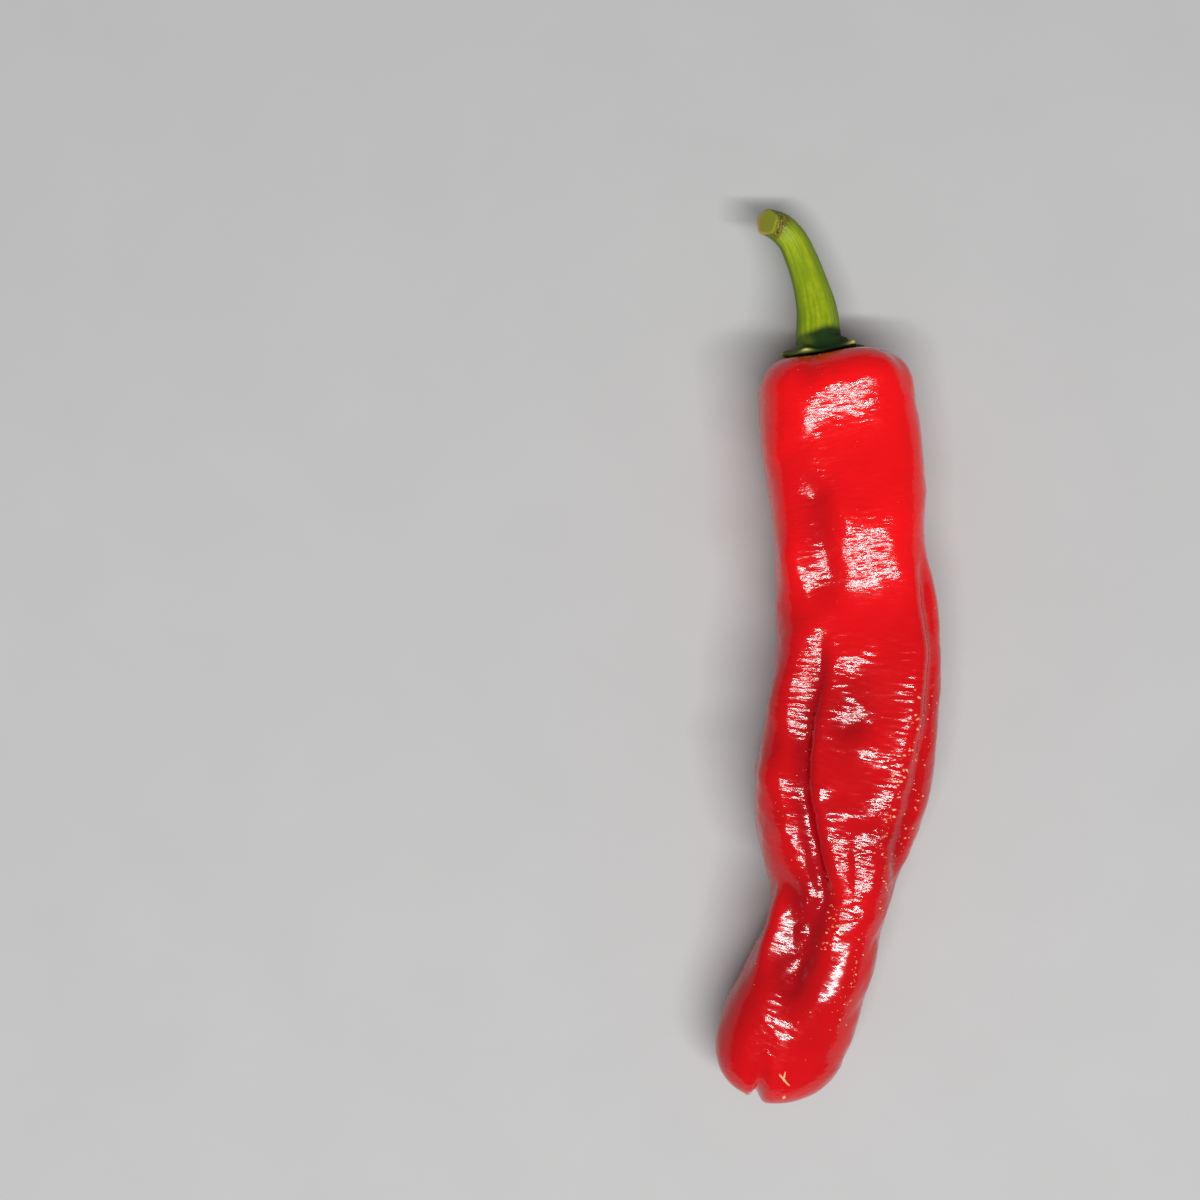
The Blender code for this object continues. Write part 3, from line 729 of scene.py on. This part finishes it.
def make_pod():
    """The pod's skin over its rows and columns, with how deep it lies in a furrow and how ripe
    and calm it is. Gives the move that lays every piece on the frame's own pod."""
    angle = np.linspace(-math.pi / 2, 1.5 * math.pi, POD_COLUMNS, endpoint=False)[None, :]
    along, share = pod_rows()
    move = shift_onto(pod_skin(along, share, angle, fine=0.0), "pod")
    points = rested(pod_skin(along, share, angle) + move)
    girth = ring_radius(along, angle)
    # How deep the skin lies in a furrow, which the skin's finish turns into painted shade
    furrow = np.clip(-main_relief(along, angle, girth) / DEEPEST_FURROW, 0, 1)
    ripe = grown(along, *RIPE_BY_CROWN) + 0 * angle
    place = straight_place(along, angle, share, POD_PATTERN_RADIUS)
    attributes = {"place": place, "furrow": furrow, "ripe": ripe, "calm": calm(along, angle, girth)}
    mesh = closed_skin("pod_skin", points, attributes)
    put("pod_skin", mesh, ripe_skin(), node="pod")
    return move


def teeth(angle):
    """1 at the point of each calyx tooth and 0 between the teeth."""
    total = np.zeros_like(angle)
    for middle in TOOTH_ANGLES:
        across = np.abs(np.degrees(turned_from(angle, math.radians(middle))))
        total = total + np.exp(-((across / TOOTH_HALF_ANGLE) ** TOOTH_BLUNTNESS))
    return np.clip(total, 0, 1)


def stem_rings(angle):
    """Rings from the cut face to the stem's foot, square to the stem's own line: the line's
    point plus the radius there, raised at five blunt edges and over each fibre. The first rings
    are slanted with the cut. Also gives how far each ring is from the cut."""
    foot = crown_point(np.zeros(1), np.zeros(1))[0] + CROWN_WAY * STEM_FOOT_HEIGHT
    foot_radius = STEM_FOOT * STEM_FOOT_SHARE * station(HALF_WIDTH, np.zeros(1))
    line = np.vstack([foot, STEM_LINE[:, :3] * MM])[::-1]
    radius = np.concatenate([foot_radius, STEM_LINE[:, 3] * MM / 2])[::-1]
    known = np.concatenate([[0], np.cumsum(np.linalg.norm(np.diff(line, axis=0), axis=1))])
    at = np.linspace(0, known[-1], STEM_ROWS)
    centre = np.stack([smooth_through(at, known, line[:, k]) for k in range(3)], axis=-1)
    size = smooth_through(at, known, radius)[:, None]
    along = unit(np.gradient(centre, at, axis=0))
    up = unit(np.array([0, 0, 1]) - along[:, 2:] * along)
    across = np.cross(up, along)
    edges = 1 + STEM_EDGE_HEIGHT * np.cos(STEM_EDGES * angle)
    wander = np.sin(at / FIBRE_WANDER_LENGTH)[:, None]
    fibres = sum(high * np.cos(count * angle + stray * wander) for count, high, stray in FIBRES)
    out = across[:, None] * np.cos(angle)[:, None] + up[:, None] * np.sin(angle)[:, None]
    rings = centre[:, None] + out * (size * (edges + fibres))[:, :, None]
    by_cut = slice(0, CUT_RINGS)
    slant = (rings[by_cut, :, 2] - centre[by_cut, None, 2]) * math.tan(CUT_TILT)
    rings[by_cut] += along[by_cut, None] * slant[:, :, None]
    return rings, at


def calyx_rings(angle, steps_out, steps_in):
    """Rings over the calyx from the stem's foot to its rim, and back under it to the middle. A
    ring lies at a share of the pod's ring and stands off the crown by the gap. Above, it also
    stands off by a rounded edge that thins outwards, the flare round the stem, a rib up each
    tooth and the curl of the teeth, and below by the curl alone."""
    tooth = teeth(angle)
    rim = CALYX_REACH + TOOTH_LENGTH * tooth - CALYX_OFFSET * np.cos(angle)
    rings = []
    for step in steps_out:
        share = STEM_FOOT + (rim - STEM_FOOT) * step
        flare = CALYX_RISE * np.exp(-(share - STEM_FOOT) / CALYX_FLARE)
        rib = TOOTH_RIB * tooth * math.sin(math.pi * min(step, 0.9))
        edge = CALYX_EDGE * math.sqrt(1 - step**6) * (1 - CALYX_THINNING * step)
        rise = CALYX_GAP + edge + flare + rib + TOOTH_CURL * tooth * step**3
        rings.append(crown_point(share, angle) + CROWN_WAY * rise[:, None])
    for step in steps_in:
        rise = CALYX_GAP + TOOTH_CURL * tooth * step**3
        rings.append(crown_point(rim * step, angle) + CROWN_WAY * rise[:, None])
    return rings


def stalk_colours(angle, from_cut, out_calyx, spread, stem_length):
    """How much of each colour lies where on the stalk, from 0 to 1: dark at the foot and on the
    calyx, the calyx's own darker green with painted shade over it that is fuller on the right; a
    darker green painted shade on both flanks; pale tooth points; a brown patch on top close to the
    cut; and the cut face with its corky rim, which is strongest low and to the left."""
    # Painted shade over the calyx's own darker green: dark at the stem's foot and over the calyx, reaching
    # higher up the stem and fuller on the right side
    dark = soft_step((from_cut - stem_length + (1.5 + 0.9 * np.cos(angle)) * MM) / (1.3 * MM))
    near_cut = np.exp(-(((from_cut - 1.5 * MM) / (1.5 * MM)) ** 2))
    rim = (1 - soft_step((from_cut - 0.1 * MM) / (0.25 * MM))) * soft_step((spread - 0.78) / 0.15)
    return {
        "dark": dark,
        # Painted shade on both flanks of the stem
        "edge": 0.75 * np.cos(angle) ** 4 + 0 * from_cut,
        "pale": soft_step((out_calyx - 0.8) / 0.2) * teeth(angle) ** 5,
        "brown": near_cut * np.clip(1.6 * np.sin(angle), 0, 1),
        "cork": rim * np.clip(0.35 - 0.85 * np.sin(angle) - 0.35 * np.cos(angle), 0.1, 1),
        "cut": (from_cut <= 0) * (spread < 1) * 1.0,
    }


def make_stalk(move):
    """One closed skin: the cut face from its middle out, the stem down to its foot, out over the
    calyx and back under it to the middle of the crown."""
    angle = np.linspace(-math.pi / 2, 1.5 * math.pi, STALK_COLUMNS, endpoint=False)
    stem, at = stem_rings(angle)
    stem_length = at[-1]
    middle = stem[0].mean(axis=0)
    cut_share = np.linspace(0, 1, CUT_ROWS)[:-1]
    cut = [middle + (stem[0] - middle) * share for share in cut_share]
    steps_out = np.linspace(0.03, 1, CALYX_ROWS_OVER)[:-1]
    steps_in = np.linspace(1, 0, CALYX_ROWS_UNDER)
    points = np.array([*cut, *stem, *calyx_rings(angle, steps_out, steps_in)]) + move
    steps = np.concatenate([steps_out, steps_in])
    from_cut = np.concatenate([np.zeros(len(cut)), at, np.full(len(steps), stem_length)])
    out_calyx = np.concatenate([np.zeros(len(cut) + len(at)), steps])
    spread = np.concatenate([cut_share, np.ones(len(at)), 1 + steps * CALYX_PATTERN_SPREAD])
    from_cut, out_calyx, spread = (part[:, None] for part in (from_cut, out_calyx, spread))
    along = from_cut + out_calyx * CALYX_PATTERN_REACH
    place = straight_place(along, angle, spread, STALK_PATTERN_RADIUS)
    colours = stalk_colours(angle, from_cut, out_calyx, spread + 0 * angle, stem_length)
    mesh = closed_skin("stalk_skin", points, {"place": place, **colours})
    put("stalk_skin", mesh, green_stem(), node="stalk")


def fleck_places(dice):
    """Where the flecks lie, by distance and angle, and how long the longest of their trail is:
    drawn evenly along each trail, and strayed from it by a bell curve."""
    along, angle, longest = [], [], []
    for count, stray, long, points in FLECK_TRAILS.values():
        known = np.array(points, float)
        at = dice.uniform(known[0, 0], known[-1, 0], count)
        line = np.interp(at, known[:, 0], known[:, 1])
        along.append(np.clip(at + dice.normal(0, FLECK_STRAY, count) * stray, *FLECK_ENDS))
        angle.append(np.radians(line) + dice.normal(0, FLECK_STRAY, count) * stray / USUAL_RADIUS)
        longest.append(np.full(count, long))
    return np.concatenate(along) * MM, np.concatenate(angle), np.concatenate(longest)


def fleck_faces(count):
    """The faces of all flecks. A fleck's points are its top, its inner ring, its outer ring and
    the point under its middle, in this order."""
    inner = 1 + np.arange(STRIP_SIDES)
    inner_next = np.roll(inner, -1)
    outer, outer_next = inner + STRIP_SIDES, inner_next + STRIP_SIDES
    under = np.full(STRIP_SIDES, 1 + 2 * STRIP_SIDES)
    corners = (
        (inner_next, inner, 0 * inner),
        (outer_next, outer, inner),
        (inner_next, outer_next, inner),
        (outer, outer_next, under),
    )
    one_fleck = np.concatenate([np.stack(three, axis=-1) for three in corners])
    return (np.arange(count)[:, None, None] * (under[0] + 1) + one_fleck).reshape(-1, 3)


def make_flecks(move, finish):
    """Corky flecks: each is a low oval mound lying across the pod, with a ring of points just
    under the skin, a smaller ring above it, and one point over and one under the middle."""
    dice = np.random.default_rng(FLECK_SEED)
    along, angle, longest = fleck_places(dice)
    count = len(along)
    one = np.ones(count)
    here = pod_skin(along, one, angle)
    down = unit(pod_skin(along + 0.1 * MM, one, angle) - here)
    beside = unit(pod_skin(along, one, angle + 0.01) - here)
    out = unit(np.cross(beside, down))
    growth = dice.uniform(0, 1, count) ** FLECK_RARITY
    size = longest * (FLECK_SHORTEST + (1 - FLECK_SHORTEST) * growth) * MM
    half_wide = (size * dice.uniform(*FLECK_HALF_WIDTHS, count))[:, None, None]
    half_long = (size / 2)[:, None, None]
    tilt = dice.normal(*FLECK_TILT, count)[:, None]
    long_way = (beside * np.cos(tilt) + down * np.sin(tilt))[:, None]
    wide_way = (down * np.cos(tilt) - beside * np.sin(tilt))[:, None]
    turn = np.linspace(0, FULL_TURN, STRIP_SIDES, endpoint=False)[:, None]
    ragged = 1 + FLECK_RAGGED * dice.uniform(-1, 1, (count, STRIP_SIDES))[:, :, None]
    ring = (half_long * np.cos(turn) * long_way + half_wide * np.sin(turn) * wide_way) * ragged
    lift = out[:, None] * np.minimum(size * FLECK_RISE, FLECK_HEIGHT * MM)[:, None, None]
    shoulder = ring * FLECK_SHOULDER[0] + lift * FLECK_SHOULDER[1]
    points = [lift, shoulder, ring - lift * FLECK_SUNK, -lift]
    points = here[:, None] + np.concatenate(points, axis=1) + move
    mesh = bpy.data.meshes.new("flecks")
    mesh.from_pydata(points.reshape(-1, 3).tolist(), [], fleck_faces(count).tolist())
    mesh.shade_smooth()
    put("flecks", mesh, finish)


def make_scars(move, finish):
    """The dry scar at the tip: low strips, half sunk in the skin, that taper at both ends. Each
    is a ring round its line on the skin, as wide as the strip and under half as high."""
    way = np.linspace(0, 1, SCAR_ROWS)
    taper = np.sin(math.pi * np.clip(way, 0.03, 0.97)) ** 0.5
    taper = taper * (1 + SCAR_UNEVEN[0] * np.sin(SCAR_UNEVEN[1] * way))
    turn = np.linspace(0, FULL_TURN, STRIP_SIDES, endpoint=False)[:, None]
    for name, (width, points) in TIP_SCARS.items():
        known = np.array(points)
        ends = np.linspace(0, 1, len(known))
        share = np.interp(way, ends, known[:, 0])
        angle = np.radians(np.interp(way, ends, known[:, 1]))
        line = tip_point(share, angle)
        out = unit(np.cross(tip_point(share - 0.01, angle) - line, tip_point(share, angle + 0.01) - line))
        out *= np.sign(out[:, 2:])
        forward = np.gradient(line, axis=0)
        forward = unit(forward - (forward * out).sum(axis=1)[:, None] * out)
        beside = np.cross(out, forward)[:, None]
        half = (width / 2 * MM * taper)[:, None, None]
        ring = half * (np.cos(turn) * beside + SCAR_HEIGHT * np.sin(turn) * out[:, None])
        put(name, closed_skin(name, line[:, None] + ring + move, {}), finish)


def lay_floor():
    """A pale floor, just under the surface that the pepper lies on."""
    corners = ((-1, -1), (1, -1), (1, 1), (-1, 1))
    floor = bpy.data.meshes.new("floor")
    floor.from_pydata([(x * FLOOR_HALF, y * FLOOR_HALF, -FLOOR_DROP) for x, y in corners], [], [range(4)])
    floor.materials.append(pale_floor())
    obj = bpy.data.objects.new("floor", floor)
    bpy.context.scene.collection.objects.link(obj)


def light():
    """One long soft light overhead across the pod, and a dim even sky."""
    lamp = bpy.data.lights.new("overhead", "AREA")
    lamp.shape = "RECTANGLE"
    lamp.size, lamp.size_y = LIGHT_SIZE
    lamp.energy = LIGHT_POWER
    obj = bpy.data.objects.new("overhead", lamp)
    obj.location = LIGHT_PLACE
    obj.rotation_euler = (Vector(LIGHT_AIM) - Vector(LIGHT_PLACE)).to_track_quat("-Z", "Y").to_euler()
    bpy.context.scene.collection.objects.link(obj)
    world = bpy.data.worlds.new("studio")
    world.use_nodes = True
    background = world.node_tree.nodes["Background"]
    background.inputs["Color"].default_value = SKY_COLOUR
    background.inputs["Strength"].default_value = SKY_STRENGTH
    bpy.context.scene.world = world


def camera():
    """A camera that looks straight down and sees as wide a stretch as the photograph does, and
    shows colours as they are."""
    data = bpy.data.cameras.new("camera")
    data.sensor_width = SENSOR_WIDTH
    data.lens = SENSOR_WIDTH * (CAMERA_PLACE[2] - POD_MIDDLE_HEIGHT) / PHOTO_WIDTH
    obj = bpy.data.objects.new("camera", data)
    obj.location = CAMERA_PLACE
    bpy.context.scene.collection.objects.link(obj)
    bpy.context.scene.camera = obj
    bpy.context.scene.view_settings.view_transform = "Standard"


camera()
lay_floor()
light()
pod_move = make_pod()
make_stalk(pod_move)
dry_cork = cork()
make_flecks(pod_move, dry_cork)
make_scars(pod_move, dry_cork)
